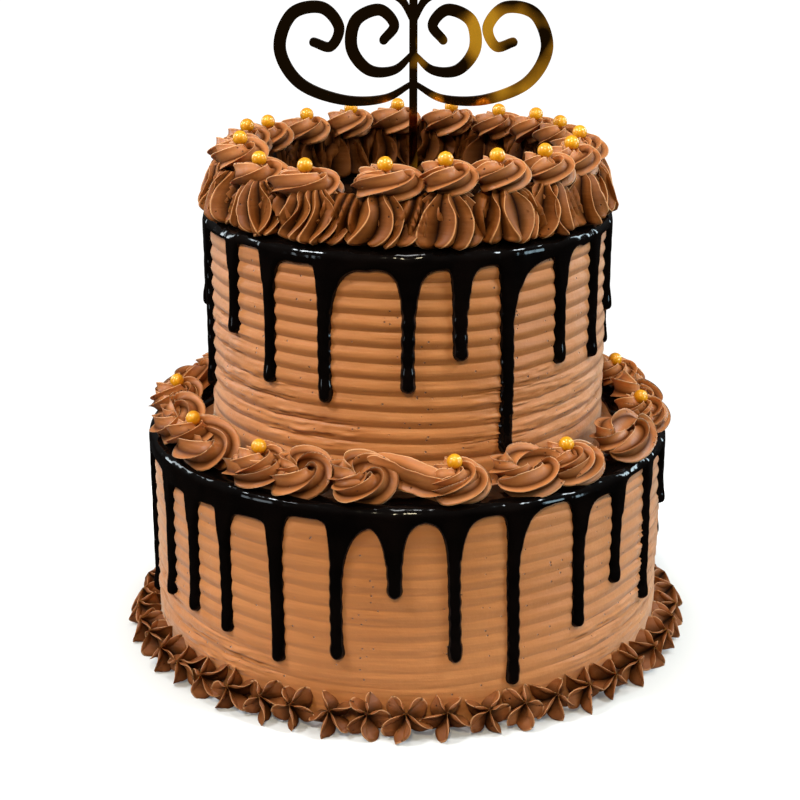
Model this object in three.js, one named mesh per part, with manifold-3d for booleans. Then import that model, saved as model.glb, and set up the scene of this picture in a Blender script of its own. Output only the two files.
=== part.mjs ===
// A two-tier drip cake: combed chocolate buttercream tiers, dark poured ganache with drips,
// piped borders, sugar pearls and a mirrored scrollwork topper on a stick.
// Millimetres, +Z up. The origin is on the cake's axis, at its foot. The front faces -Y.
// Azimuths are degrees from the front, positive towards +X.

import * as THREE from 'three';
import { mergeVertices } from 'three/addons/utils/BufferGeometryUtils.js';
import Module from 'manifold-3d';

const wasm = await Module();
wasm.setup();

// Clearance between pieces that touch
const GAP = 0.3;

// The two tiers: outer radius, foot and top, and the grooves that the comb left in the side
const TIER_SIDES = 30;
const GROOVE_DEPTH = 1.5;
const FOOT_ROUNDING = 1;
const RIM_ROUNDING = 3.5;
const LOWER_TIER = { radius: 127, foot: 0, top: 105.3, pitch: 7.7, firstGroove: 21.5, grooves: 11 };
const UPPER_TIER = { radius: 97, foot: 105.6, top: 212.5, pitch: 7.48, firstGroove: 127.8, grooves: 11 };

// The poured ganache: a skin over each rim, with webs and drips down the side
const SKIN = 2.2;
const SKIN_CLEARANCE = 0.7;
const SKIN_ROUNDING = 3.8;
const DRIP_EDGE_ROUNDING = 1.6;
const WEB_SPREAD_SHARE = 0.35;
const WEB_FALL_SHARE = 0.8;
const DRIP_WIDTH = 6.8;
const DRIP_EDGE_THICKNESS = 1.4;
const DRIP_BULGE_THICKNESS = 3.6;
const DRIP_END_ROUNDING = 2.6;
const LOWER_GANACHE_INNER_RADIUS = 104.5;

// Drips: azimuth, length below the skin's top, how far each web reaches, left and right, and
// how far the skirt on the right runs down
const UPPER_DRIPS = [
  [-83, 47, 3, 4, 6],
  [-77.5, 85, 3, 3, 6],
  [-55.7, 49.5, 3, 4, 5],
  [-40.5, 67, 4, 9, 8],
  [-22.6, 71.5, 4, 10, 8.7],
  [0.1, 65, 7, 7, 8.5],
  [13.8, 51, 3, 7, 8.1],
  [27, 96.5, 3, 13, 8.3],
  [45.1, 59.5, 4, 7, 6],
  [62.3, 63.5, 3, 4, 5.8],
  [77.5, 47.5, 3, 4, 6],
];
const LOWER_DRIPS = [
  [-83, 89.5, 3, 4, 10],
  [-63.3, 73.5, 3, 4, 14],
  [-52.3, 72.5, 3, 5, 13.5],
  [-41.5, 74.5, 3, 6, 13.3],
  [-28, 81.5, 4, 5, 8.3],
  [-14.6, 75.5, 4, 10, 9],
  [-3, 44, 7, 7, 7],
  [9.3, 75.5, 8, 9, 6],
  [21.8, 90, 4, 11, 5],
  [37.7, 70, 5, 6, 8.4],
  [49.5, 55.5, 4, 5, 5],
  [63, 75, 3, 4, 5.5],
  [77, 37, 3, 4, 6],
];
// The drips round the back follow a rule: even steps, with uneven lengths
const UPPER_BACK_DRIPS = { count: 11, shortest: 42, longest: 86, web: 5, skirt: 7 };
const LOWER_BACK_DRIPS = { count: 12, shortest: 38, longest: 84, web: 5, skirt: 8 };
const GOLDEN_SHARE = 0.618034;

// Stars piped round the foot, each tipped outwards: petals round a tip, over a sloping tile
const STAR_COUNT = 48;
const STAR_PETALS = 5;
const STAR_TIP = { radius: 138.3, height: 12.8 };
const STAR_TILT = 45;
const STAR_CREST = { reach: 9.3, depth: 4.2 };
const STAR_VALLEY = { reach: 4.8, depth: 5.6 };
const STAR_TILE_DEPTH = 7.6;
const STAR_HEAD_HEIGHT = 16.5;

// The piped borders: each piece has three crests on either side of its ring. Valleys between
// them are shallower, and where two pieces join the ring is thinner and lower.
const CRESTS = 3;
const VALLEY_SHARE = 0.72;
const JOINT_SHARE = 0.42;
const JOINT_RISE = 0.8;
const SHOULDER_RISE = 0.66;
const TIP_PULL = 0.6;
// Sections through a piece: [share of the half depth, share of the height, share of the slant]
const RUFFLE_SECTION = [
  [-0.74, 0, -0.3],
  [0.74, 0, -0.3],
  [1, 0.34, 1],
  [0.76, 1, 0],
  [-0.76, 1, 0],
  [-1, 0.34, 1],
];
const SWIRL_SECTION = [
  [-0.9, 0, -1],
  [0.74, 0, -1],
  [1, 0.36, 0],
  [0.66, 0.8, 1],
  [0, 1, 0.6],
  [-0.66, 0.8, -1],
];

// Roses and drops piped side by side on the lower tier's rim
const LOWER_BORDER = { foot: 108.1, ringRadius: 116, halfDepth: 13 };
const ROSE = { height: 14, slant: 2.6 };
const DROP = { height: 13.2, slant: 0.8 };
// Each one's kind, the azimuths between which it lies, its tip's azimuth, and any pearl on it
const LOWER_PIPING = [
  [DROP, -97.5, -84, -92, true],
  [ROSE, -84, -65.5, -75, false],
  [ROSE, -65.5, -45, -60.5, true],
  [DROP, -45, -31.5, -35.5, true],
  [ROSE, -31.5, -17.7, -25, false],
  [ROSE, -17.7, -3.8, -11, false],
  [ROSE, -3.8, 6.5, 2, false],
  [DROP, 6.5, 17.3, 10, true],
  [ROSE, 17.3, 34.5, 26, false],
  [DROP, 34.5, 48, 38, true],
  [ROSE, 48, 70, 59.5, false],
  [DROP, 70, 85, 79, true],
  [ROSE, 85, 102, 93.5, false],
  [DROP, 102, 116, 110.5, true],
];
// Round the back roses and drops take turns
const LOWER_BACK_PIPING = { count: 9, dropSpan: 12.5 };

// The ruffle piped on the upper tier's rim, and the swirls on top of it
const RUFFLE = { foot: 215.3, height: 19.4, ringRadius: 86.5, halfDepth: 15.2, slant: 1.6 };
const RUFFLE_AZIMUTHS = [
  -66.5, -48.5, -28.5, -8, 11, 29, 44.5, 61, 79, 97,
  115, 133, 151, 169, 187, 205, 223, 241, 259, 276,
];
const SWIRL = { foot: 235, ringRadius: 82.5, halfDepth: 14.2, slant: 3.4 };
// Each swirl's tip: its azimuth, and its height above the swirls' foot
const SWIRL_TIPS = [
  [-71, 14], [-55.2, 8.2], [-33.8, 9], [-7.2, 12], [11.2, 14], [28.2, 14.2], [48, 13.2],
  [65.8, 13], [91.8, 11.7], [113.5, 11.7], [128, 12.7], [145.2, 12], [163.8, 12.2],
  [183.5, 12.7], [200.8, 11.7], [218.8, 10.4], [238.2, 10.2], [253.2, 11.4], [271, 11.7],
];

// Sugar pearls: each rests on the tip of a swirl, drop or rose. One swirl has lost its pearl.
const PEARL_RADIUS = 3.5;
const BARE_SWIRL_AZIMUTH = 271;

// The topper: a flat mirrored sheet of scrollwork on a stick, standing in the XZ plane
const SHEET = 3;
const STICK_WIDTH = 3.9;
const STICK_RISE = 92;
const TOPPER_X = 2.5;
const TOPPER_FOOT = 266;
const STROKE_THIN = 2.2;
const STROKE_THICK = 5.8;
const CURL_END_WIDTH = 4.2;
// Its scrolls on one side: how many steps each takes, and the points that its curve passes
// through, from the stick outwards and up from the topper's foot
const SCROLLS = [
  [13, [[0, 8], [14, 0.5], [34, 0], [54, 8], [63, 24], [57, 40], [43, 43], [35, 34], [39, 25], [47, 27]]],
  [10, [[0, 22], [9, 14], [21, 14], [29, 24], [27, 37], [16, 42], [9, 35], [14, 28]]],
  [10, [[0, 36], [6, 47], [18, 52], [32, 53], [43, 61], [42, 74], [31, 78], [24, 70], [30, 64]]],
  [5, [[0, 52], [9, 62], [12, 75], [7, 85], [0, 92]]],
];

const BUTTERCREAM = new THREE.MeshStandardMaterial({ color: 0xbd8159, roughness: 0.62, metalness: 0 });
const PIPING = new THREE.MeshStandardMaterial({ color: 0x8f5636, roughness: 0.5, metalness: 0 });
const GANACHE = new THREE.MeshStandardMaterial({ color: 0x0d0706, roughness: 0.12, metalness: 0 });
const PEARL = new THREE.MeshStandardMaterial({ color: 0xe0a21c, roughness: 0.28, metalness: 0.55 });
const MIRROR = new THREE.MeshStandardMaterial({ color: 0xb98a3a, roughness: 0.08, metalness: 1 });

const cake = new THREE.Group();

const radians = THREE.MathUtils.degToRad;

// An uneven but fixed share between 0 and 1
function unevenShare(index) {
  return (index * GOLDEN_SHARE) % 1;
}

function evenAzimuths(count) {
  return Array.from({ length: count }, (_, i) => (i * 2 * Math.PI) / count);
}

// A closed body lofted round Z. Each section lists [radius, height, turn] from bottom to top,
// and either starts and ends on the axis or ends where it starts.
function lofted(azimuths, sections) {
  const rows = sections[0].length;
  const outline = sections[0].map(([radius, height]) => new THREE.Vector2(radius, height));
  const geometry = new THREE.LatheGeometry(outline, azimuths.length);
  const position = geometry.attributes.position;
  for (let i = 0; i < position.count; i++) {
    const column = Math.floor(i / rows) % azimuths.length;
    const [radius, height, turn = 0] = sections[column][i % rows];
    const angle = azimuths[column] + turn;
    position.setXYZ(i, radius * Math.sin(angle), -radius * Math.cos(angle), height);
  }
  return geometry;
}

function turned(profile, sides) {
  const azimuths = evenAzimuths(sides);
  return lofted(azimuths, azimuths.map(() => profile));
}

// A closed mesh as a solid that can be joined to others
function solid(geometry) {
  const bare = geometry.clone();
  bare.deleteAttribute('normal');
  bare.deleteAttribute('uv');
  const merged = mergeVertices(bare);
  return new wasm.Manifold(new wasm.Mesh({
    numProp: 3,
    vertProperties: new Float32Array(merged.attributes.position.array),
    triVerts: new Uint32Array(merged.index.array),
  }));
}

function joined(solids) {
  return solids.reduce((whole, next) => whole.add(next));
}

function addPiece(name, body, material) {
  const { vertProperties, triVerts } = body.getMesh();
  const geometry = new THREE.BufferGeometry();
  geometry.setAttribute('position', new THREE.BufferAttribute(vertProperties, 3));
  geometry.setIndex(new THREE.BufferAttribute(triVerts, 1));
  geometry.computeVertexNormals();
  const mesh = new THREE.Mesh(geometry, material);
  mesh.name = name;
  cake.add(mesh);
}

// A tier: a plain cylinder whose side the comb has cut into rounded ridges
function tier({ radius, foot, top, pitch, firstGroove, grooves }) {
  const profile = [[0, foot], [radius - FOOT_ROUNDING, foot], [radius, foot + FOOT_ROUNDING]];
  for (let i = 0; i < grooves; i++) {
    const height = firstGroove + i * pitch;
    profile.push([radius, height - pitch / 2]);
    profile.push([radius - GROOVE_DEPTH, height]);
  }
  profile.push([radius, top - RIM_ROUNDING], [radius - RIM_ROUNDING, top], [0, top]);
  return solid(turned(profile, TIER_SIDES));
}

// The measured drips, and the back ones spaced evenly between the last and the first
function allDrips(front, { count, shortest, longest, web, skirt }) {
  const last = front[front.length - 1][0];
  const step = (front[0][0] + 360 - last) / (count + 1);
  const back = Array.from({ length: count }, (_, i) => [
    last + (i + 1) * step,
    shortest + (longest - shortest) * unevenShare(i + 1),
    web,
    web,
    skirt,
  ]);
  return [...front, ...back];
}

// The lower outline of a skin: azimuth, height and thickness, at six columns for each drip
function dripOutline(drips, radius, top) {
  const alongRim = (length) => length / radius;
  return drips.flatMap(([azimuth, length, webLeft, webRight, drop], i) => {
    const [last, , , , leftDrop] = drips[(i + drips.length - 1) % drips.length];
    const before = i === 0 ? last - 360 : last;
    const centre = radians(azimuth);
    const half = alongRim(DRIP_WIDTH / 2);
    const end = top - length;
    const left = top - leftDrop;
    const right = top - drop;
    return [
      [radians((before + azimuth) / 2), left, SKIN],
      [centre - half - alongRim(webLeft * WEB_SPREAD_SHARE), left - webLeft * WEB_FALL_SHARE, SKIN],
      [centre - half, end + DRIP_END_ROUNDING, DRIP_EDGE_THICKNESS],
      [centre, end, DRIP_BULGE_THICKNESS],
      [centre + half, end + DRIP_END_ROUNDING, DRIP_EDGE_THICKNESS],
      [centre + half + alongRim(webRight * WEB_SPREAD_SHARE), right - webRight * WEB_FALL_SHARE, SKIN],
    ];
  });
}

// Ganache over a tier: from the given inner edge, over the rim and down to the drips' ends
function pouredSkin(tierShape, drips, innerEdge) {
  const inner = tierShape.radius + SKIN_CLEARANCE;
  const outer = inner + SKIN;
  const underside = tierShape.top + GAP;
  const top = underside + SKIN;
  const columns = dripOutline(drips, outer, top);
  const sections = columns.map(([, height, thickness]) => {
    const side = [
      [inner, height],
      [inner + thickness, height + DRIP_EDGE_ROUNDING],
      [outer, top - SKIN_ROUNDING],
      [outer - SKIN_ROUNDING, top],
    ];
    return innerEdge > 0
      ? [[inner, underside], ...side, [innerEdge + SKIN, top], [innerEdge, underside], [inner, underside]]
      : [[0, underside], [inner, underside], ...side, [0, top]];
  });
  return solid(lofted(columns.map(([azimuth]) => azimuth), sections));
}

// A star's outline, crest and valley in turn from the petal that points down: each point's
// reach across the star, its reach up the star, and its depth behind the tip
function starOutline() {
  return Array.from({ length: 2 * STAR_PETALS }, (_, i) => {
    const { reach, depth } = i % 2 ? STAR_VALLEY : STAR_CREST;
    const angle = (i * Math.PI) / STAR_PETALS;
    return new THREE.Vector3(reach * Math.sin(angle), -reach * Math.cos(angle), depth);
  });
}

// A point at a radius and height, at a whole number of half steps between stars
function besideStar(radius, height, halfSteps) {
  const angle = ((halfSteps + 2 * STAR_COUNT) % (2 * STAR_COUNT)) * (Math.PI / STAR_COUNT);
  return new THREE.Vector3(radius * Math.sin(angle), -radius * Math.cos(angle), height);
}

// One star on its tile, as loose triangles: petals, tile, floor and the face at the wall
function starTile(index) {
  const wall = LOWER_TIER.radius + SKIN_CLEARANCE + GAP;
  const slope = STAR_TIP.radius + STAR_TIP.height - STAR_TILE_DEPTH * Math.SQRT2;
  const edge = (radius, height) => [-1, 0, 1].map((side) => besideStar(radius, height, 2 * index + side));
  const foot = edge(slope, 0);
  const head = edge(wall, STAR_HEAD_HEIGHT);
  const heel = edge(wall, 0);
  const border = [...foot, ...head.slice().reverse()];

  // Across the star and up it, as seen along its axis
  const turn = (index * 2 * Math.PI) / STAR_COUNT;
  const axis = new THREE.Vector3(0, -Math.sin(radians(STAR_TILT)), Math.cos(radians(STAR_TILT)));
  const up = new THREE.Vector3(0, axis.z, -axis.y);
  const onward = new THREE.Vector3(0, 0, 1);
  const tip = new THREE.Vector3(0, -STAR_TIP.radius, STAR_TIP.height);
  const ring = starOutline().map(({ x, y, z }) => (
    new THREE.Vector3(x, 0, 0).addScaledVector(up, y).addScaledVector(axis, -z).add(tip)
  ));
  const flat = (point) => new THREE.Vector2(point.x, point.dot(up));
  const flatBorder = border.map((point) => flat(point.clone().applyAxisAngle(onward, -turn)));
  const tile = THREE.ShapeUtils.triangulateShape(flatBorder, [ring.map(flat)]);

  [tip, ...ring].forEach((point) => point.applyAxisAngle(onward, turn));
  const petals = ring.map((point, i) => [tip, point, ring[(i + 1) % ring.length]]);
  const corners = [...border, ...ring];
  const strip = (a, b) => [0, 1].flatMap((i) => [[a[i], b[i], a[i + 1]], [a[i + 1], b[i], b[i + 1]]]);
  return [
    ...petals,
    ...tile.map((triangle) => triangle.map((corner) => corners[corner])),
    ...strip(foot, heel),
    ...strip(heel, head),
  ].flat();
}

function baseStars() {
  const tiles = Array.from({ length: STAR_COUNT }, (_, i) => starTile(i));
  return solid(new THREE.BufferGeometry().setFromPoints(tiles.flat()));
}

// A border piped round a ring. Every piece lies between two azimuths and rises to its tip
// over the middle of the ring. Its crests lean along the ring by the slant, in degrees.
function pipedBorder({ foot, ringRadius, halfDepth }, section, pieces) {
  const columnCount = 2 * CRESTS;
  const azimuths = [];
  const sections = [];
  for (const { from, to, tip, height, slant } of pieces) {
    for (let column = 0; column < columnCount; column++) {
      const share = column / columnCount;
      const azimuth = from + (to - from) * share;
      const roundness = Math.sqrt(1 - (2 * share - 1) ** 2);
      const isJoint = column === 0;
      const depth = halfDepth * (isJoint ? JOINT_SHARE : roundness * (column % 2 ? 1 : VALLEY_SHARE));
      const rise = height * (SHOULDER_RISE + (1 - SHOULDER_RISE) * roundness);
      const toTip = isJoint ? 0 : (tip - azimuth) * TIP_PULL;
      azimuths.push(radians(azimuth));
      const points = section.map(([across, up, slantShare]) => [
        ringRadius + depth * across,
        foot + (up === 1 ? rise : height * up * (isJoint ? JOINT_RISE : 1)),
        radians(isJoint ? 0 : slant * slantShare + (up === 1 ? toTip : 0)),
      ]);
      sections.push([...points, points[0]]);
    }
  }
  return solid(lofted(azimuths, sections));
}

// The measured pieces of the lower border, and those round the back
function allLowerPiping() {
  const { count, dropSpan } = LOWER_BACK_PIPING;
  const start = LOWER_PIPING[LOWER_PIPING.length - 1][2];
  const room = LOWER_PIPING[0][1] + 360 - start;
  const drops = (count - 1) / 2;
  const roseSpan = (room - drops * dropSpan) / (drops + 1);
  const back = Array.from({ length: count }, (_, i) => {
    const isDrop = i % 2 === 1;
    const from = start + Math.ceil(i / 2) * roseSpan + Math.floor(i / 2) * dropSpan;
    const to = from + (isDrop ? dropSpan : roseSpan);
    return [isDrop ? DROP : ROSE, from, to, (from + to) / 2, isDrop];
  });
  return [...LOWER_PIPING, ...back].map(([kind, from, to, tip, hasPearl]) => (
    { ...kind, from, to, tip, hasPearl }
  ));
}

// Ruffles and swirls meet halfway between their tips, each [azimuth, height]
function evenlyMet(kind, tips) {
  const at = (i) => tips[(i + tips.length) % tips.length][0] + 360 * Math.floor(i / tips.length);
  return tips.map(([tip, height], i) => (
    { ...kind, height, from: (at(i - 1) + tip) / 2, to: (tip + at(i + 1)) / 2, tip }
  ));
}

// Pearls on their resting spots: each [azimuth, ring radius, height]
function addPearls(prefix, spots) {
  spots.forEach(([azimuth, ringRadius, height], i) => {
    const pearl = new THREE.IcosahedronGeometry(PEARL_RADIUS, 0);
    pearl.computeBoundingBox();
    pearl.translate(0, -ringRadius, height + GAP - pearl.boundingBox.min.z).rotateZ(radians(azimuth));
    addPiece(`${prefix}_${String(i + 1).padStart(2, '0')}`, solid(pearl), PEARL);
  });
}

// A flat outline in X and Z, as thick as the sheet
function sheetCut(outline) {
  const shape = new THREE.Shape(outline);
  const plate = new THREE.ExtrudeGeometry(shape, { depth: SHEET, bevelEnabled: false });
  return solid(plate.rotateX(Math.PI / 2).translate(0, SHEET / 2, 0));
}

// A scroll cut as one stroke: thin where it leaves the stick, thick along its way
function scroll([steps, points], side) {
  const route = points.map(([x, z]) => new THREE.Vector2(TOPPER_X + side * x, TOPPER_FOOT + z));
  const curve = new THREE.SplineCurve(route);
  const edge = (face) => Array.from({ length: steps + 1 }, (_, i) => {
    const share = i / steps;
    const thin = STROKE_THIN + (CURL_END_WIDTH - STROKE_THIN) * share;
    const width = thin + (STROKE_THICK - thin) * Math.sin(Math.PI * share);
    const point = curve.getPoint(share);
    const along = curve.getTangent(share);
    return new THREE.Vector2(-along.y, along.x).multiplyScalar((face * width) / 2).add(point);
  });
  return sheetCut([...edge(1), ...edge(-1).reverse()]);
}

function topper() {
  const half = STICK_WIDTH / 2;
  const foot = UPPER_TIER.top + 2 * GAP + SKIN;
  const stick = sheetCut([
    new THREE.Vector2(TOPPER_X - half, foot),
    new THREE.Vector2(TOPPER_X + half, foot),
    new THREE.Vector2(TOPPER_X + half, TOPPER_FOOT + STICK_RISE),
    new THREE.Vector2(TOPPER_X - half, TOPPER_FOOT + STICK_RISE),
  ]);
  return joined([stick, ...SCROLLS.flatMap((each) => [scroll(each, 1), scroll(each, -1)])]);
}

const upperDrips = allDrips(UPPER_DRIPS, UPPER_BACK_DRIPS);
const lowerDrips = allDrips(LOWER_DRIPS, LOWER_BACK_DRIPS);
const lowerPiping = allLowerPiping();
const ruffles = evenlyMet(RUFFLE, RUFFLE_AZIMUTHS.map((azimuth) => [azimuth, RUFFLE.height]));
const swirls = evenlyMet(SWIRL, SWIRL_TIPS);
const upperPearlSpots = swirls
  .filter(({ tip }) => tip !== BARE_SWIRL_AZIMUTH)
  .map(({ tip, height }) => [tip, SWIRL.ringRadius, SWIRL.foot + height]);
const lowerPearlSpots = lowerPiping
  .filter(({ hasPearl }) => hasPearl)
  .map(({ tip, height }) => [tip, LOWER_BORDER.ringRadius, LOWER_BORDER.foot + height]);

addPiece('lower_tier', tier(LOWER_TIER), BUTTERCREAM);
addPiece('upper_tier', tier(UPPER_TIER), BUTTERCREAM);
addPiece('lower_ganache', pouredSkin(LOWER_TIER, lowerDrips, LOWER_GANACHE_INNER_RADIUS), GANACHE);
addPiece('upper_ganache', pouredSkin(UPPER_TIER, upperDrips, 0), GANACHE);
addPiece('base_star_border', baseStars(), PIPING);
addPiece('lower_swirl_border', pipedBorder(LOWER_BORDER, SWIRL_SECTION, lowerPiping), PIPING);
addPiece('upper_ruffle_border', pipedBorder(RUFFLE, RUFFLE_SECTION, ruffles), PIPING);
addPiece('upper_swirl_border', pipedBorder(SWIRL, SWIRL_SECTION, swirls), PIPING);
addPearls('pearl_upper', upperPearlSpots);
addPearls('pearl_lower', lowerPearlSpots);
addPiece('topper', topper(), MIRROR);

export default cake;
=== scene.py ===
import math

import bpy
import numpy as np
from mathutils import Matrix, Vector


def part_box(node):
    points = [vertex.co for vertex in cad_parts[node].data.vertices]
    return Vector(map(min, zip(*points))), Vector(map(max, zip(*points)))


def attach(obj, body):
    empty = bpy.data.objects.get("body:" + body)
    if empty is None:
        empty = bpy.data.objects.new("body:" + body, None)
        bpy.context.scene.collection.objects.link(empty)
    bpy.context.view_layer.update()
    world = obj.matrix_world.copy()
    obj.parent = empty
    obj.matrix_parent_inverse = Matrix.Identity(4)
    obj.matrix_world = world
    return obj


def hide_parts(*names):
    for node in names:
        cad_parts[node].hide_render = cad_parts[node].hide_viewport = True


# The looks of a two-tier drip cake. All shapes are worked out in millimetres and written in metres.
# Azimuths are degrees from the front, which faces -Y, and positive towards +X.

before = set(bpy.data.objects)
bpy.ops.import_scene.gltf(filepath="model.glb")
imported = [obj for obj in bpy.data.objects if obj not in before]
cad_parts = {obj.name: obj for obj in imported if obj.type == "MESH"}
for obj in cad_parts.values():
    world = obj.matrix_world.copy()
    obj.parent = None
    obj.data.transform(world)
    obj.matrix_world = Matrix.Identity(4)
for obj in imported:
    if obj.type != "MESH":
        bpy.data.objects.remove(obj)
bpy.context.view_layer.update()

MM = 0.001
TAU = 2 * math.pi

# Camera: where it stands, how far it looks down, and its lens on a 36 mm sensor
CAMERA_PLACE = (-3.8, -844.0, 393.0)
CAMERA_DOWN = 18.2
CAMERA_LENS = 79.56

# How bright the backdrop is, and the room round the cake, low down and high up
BACKDROP = 1.1
ROOM_LOW = 0.02
ROOM_HIGH = 0.22

# The floor, the radius from which on its shade fades out, and its own glow within that
FLOOR_RADIUS = 0.24
SHADE_RADIUS = 0.13
FLOOR_GLOW = 0.1

# Lights that look at the cake's middle: place, size, power and colour
CAKE_MIDDLE = (0, 0, 0.14)
SOFTBOX = (0.25, 0.25)
UPRIGHT_BOX = (0.2, 0.8)
LOW_BOX = (0.2, 0.4)
LIGHTS = {
    "left_softbox": ((-1.1, -0.45, 1.35), SOFTBOX, 24, (0.9, 0.96, 1)),
    "right_softbox": ((1.1, -0.35, 1.3), SOFTBOX, 18, (0.84, 0.94, 1)),
    "left_rim": ((-1.15, 0.6, 0.6), UPRIGHT_BOX, 8, (0.83, 0.94, 1)),
    "right_rim": ((1.15, 0.6, 0.6), UPRIGHT_BOX, 10, (0.72, 0.91, 1)),
    "left_low": ((-1.15, -0.65, 0.25), LOW_BOX, 2.8, (0.8, 0.92, 1)),
    "right_low": ((1.2, -0.5, 0.28), LOW_BOX, 6.2, (0.6, 0.86, 1)),
    "overhead_softbox": ((0, -0.3, 1.5), SOFTBOX, 6, (1, 1, 1)),
    "front_fill": ((-0.15, -1.65, 1.6), SOFTBOX, 24, (1, 0.88, 0.6)),
}

# The tiers: the comb's dark bands, from the lowest one's height on, and how deep the comb cut.
# Smooth is the share of that depth which is missing at the front. Flare is how far the foot
# spreads, and drift how far up the comb had strayed, in mm, at some azimuths.
LOWER_TIER = dict(
    radius=127.0, foot=0.0, top=105.3, pitch=7.7, band=21.5, bands=11, depth=0.85, smooth=0.7, flare=0.0,
    drift=[
        (-120, 3), (-66, 4.2), (-56, 3.6), (-46, 2.4), (-34, 1.2), (-20, -0.4), (3, -0.4),
        (15, 1.1), (29, 2.7), (43, 3.7), (55, 5.2), (67, 5.2), (120, 3),
    ])
UPPER_TIER = dict(
    radius=97.0, foot=105.0, top=212.5, pitch=7.48, band=120.32, bands=12, depth=1.05, smooth=0.1, flare=2.0,
    drift=[
        (-120, 0.5), (-48, 0.4), (-12, 0.1), (7, -0.5), (20, -0.7), (34, 0), (52, 1.7), (68, 2.6), (120, 1),
    ])
# The valley under each band, as a share of the pitch below the band's middle
VALLEY_BELOW_BAND = 0.23
# How steadily a ridge bends: 2 is round, and nearer to 1 its slopes are straighter
RIDGE_BEND = 1.4
RIM_ROUNDING = 3.5
# How finely the tiers are drawn: columns, rows in a band, and rows of their tops
TIER_COLUMNS = 330
ROWS_IN_PITCH = [0, 0.04, 0.11, 0.2, 0.29, 0.38, 0.48, 0.59, 0.7, 0.8, 0.89, 0.96]
TIER_TOP_STEP = 6.0
# Within the first radius other pieces hide the tiers' tops, and within the second lies their middle
HIDDEN_TOP_RADIUS = 85
CLOSING_RADIUS = 0.5
# How far up its ridges plain cream counts as lying, on tops and round rims
TOP_RISE = 0.8
RIM_RISE = 0.85

# Where the comb tore the buttercream: azimuth, height, and half the zone's angle and height
TEARS = [
    (-50, 140, 20, 13), (-30, 130, 16, 8), (36, 143, 18, 14), (58, 133, 20, 12), (28, 126, 14, 6),
    (-62, 165, 12, 10), (-70, 30, 14, 14), (52, 28, 18, 14), (70, 60, 12, 18), (-45, 22, 16, 8),
    (120, 150, 30, 20), (200, 132, 30, 14), (160, 40, 30, 16), (240, 60, 24, 20),
]

# The poured ganache: its thickness, its shoulder, its drips and the rounding of its edges
SKIN = 2.5
SHOULDER = 4.5
DRIP_HALF_WIDTH = 3.35
DRIP_END_RADIUS = 3.7
EDGE_ROUNDING = 2.8
LOWER_GANACHE_INNER_RADIUS = 104.5
# How finely the ganache is drawn: columns and rows of its side, and rows of its top
GANACHE_COLUMN_STEP = 0.64
GANACHE_ROW_STEP = 0.8
GANACHE_TOP_STEP = 5.0

# Drips: azimuth, length below the skin's top, how far each web reaches, left and right, and
# how far the skirt on the right runs down
UPPER_DRIPS = [
    (-83, 47, 1.5, 2, 6), (-77.5, 85, 1.5, 1.5, 6), (-55.7, 49.5, 1.5, 2, 5), (-40.5, 67, 1.5, 4, 8),
    (-22.6, 71.5, 1.5, 7, 8.7), (0.1, 65, 4.5, 4.5, 8.5), (13.8, 51, 1.5, 3, 8.1), (27, 96.5, 1.5, 9, 8.3),
    (45.1, 59.5, 2, 4, 6), (62.3, 63.5, 1.5, 2, 5.8), (77.5, 47.5, 1.5, 2, 6),
]
LOWER_DRIPS = [
    (-83, 89.5, 1.5, 2, 10), (-63.3, 73.5, 1.5, 2, 14), (-52.3, 72.5, 1.5, 2.5, 13.5),
    (-41.5, 74.5, 1.5, 3, 13.3), (-28, 81.5, 2, 2.5, 8.3), (-14.6, 75.5, 2, 8, 9), (-3, 44, 5, 5, 7),
    (9.3, 75.5, 5, 5, 6), (21.8, 90, 2, 7, 5), (37.7, 70, 3, 4, 8.4), (49.5, 55.5, 2, 3, 5),
    (63, 75, 1.5, 2, 5.5), (77, 37, 1.5, 2, 6),
]
UPPER_BACK_DRIPS = dict(count=11, shortest=45, longest=89, skirt=7)
LOWER_BACK_DRIPS = dict(count=12, shortest=39.5, longest=85.5, skirt=8)
GOLDEN_SHARE = 0.618034

# Stars round the foot: each tip's place, and how far its axis leans outwards
STAR_COUNT = 48
STAR_PETALS = 5
STAR_ROWS = 20
STAR_TIP_RADIUS = 138.0
STAR_TIP_HEIGHT = 13.0
STAR_LEAN = 45.0

# Ruffles on the upper rim, and the swirls on top of them
RUFFLE_AZIMUTHS = [
    -66.5, -48.5, -28.5, -8, 11, 29, 44.5, 61, 79, 97,
    115, 133, 151, 169, 187, 205, 223, 241, 259, 276,
]
RUFFLE_FOOT = 215.0
RUFFLE_RADIUS = 86.0
RUFFLE_ROWS = 25
# How much wider the ruffles are along the rim than across it
RUFFLE_SPREAD = 1.16
# The pleated cream behind the ruffles, and its height at the back and at the front
PLEATS = 92
COLUMNS_IN_PLEAT = 6
CORE_ROWS = 21
CORE_HEIGHT = 28.0
CORE_FRONT_HEIGHT = 22.5
SWIRL_FOOT = 235.0
SWIRL_RADIUS = 82.5
# A swirl's own height, and each swirl's tip: its azimuth, and its height above the swirls' foot
SWIRL_HEIGHT = 11.7
SWIRL_TIPS = [
    (-71, 14), (-55.2, 8.2), (-33.8, 9), (-7.2, 12), (11.2, 14), (28.2, 14.2), (48, 13.2),
    (65.8, 13), (91.8, 11.7), (113.5, 11.7), (128, 12.7), (145.2, 12), (163.8, 12.2),
    (183.5, 12.7), (200.8, 11.7), (218.8, 10.4), (238.2, 10.2), (253.2, 11.4), (271, 11.7),
]

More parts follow.
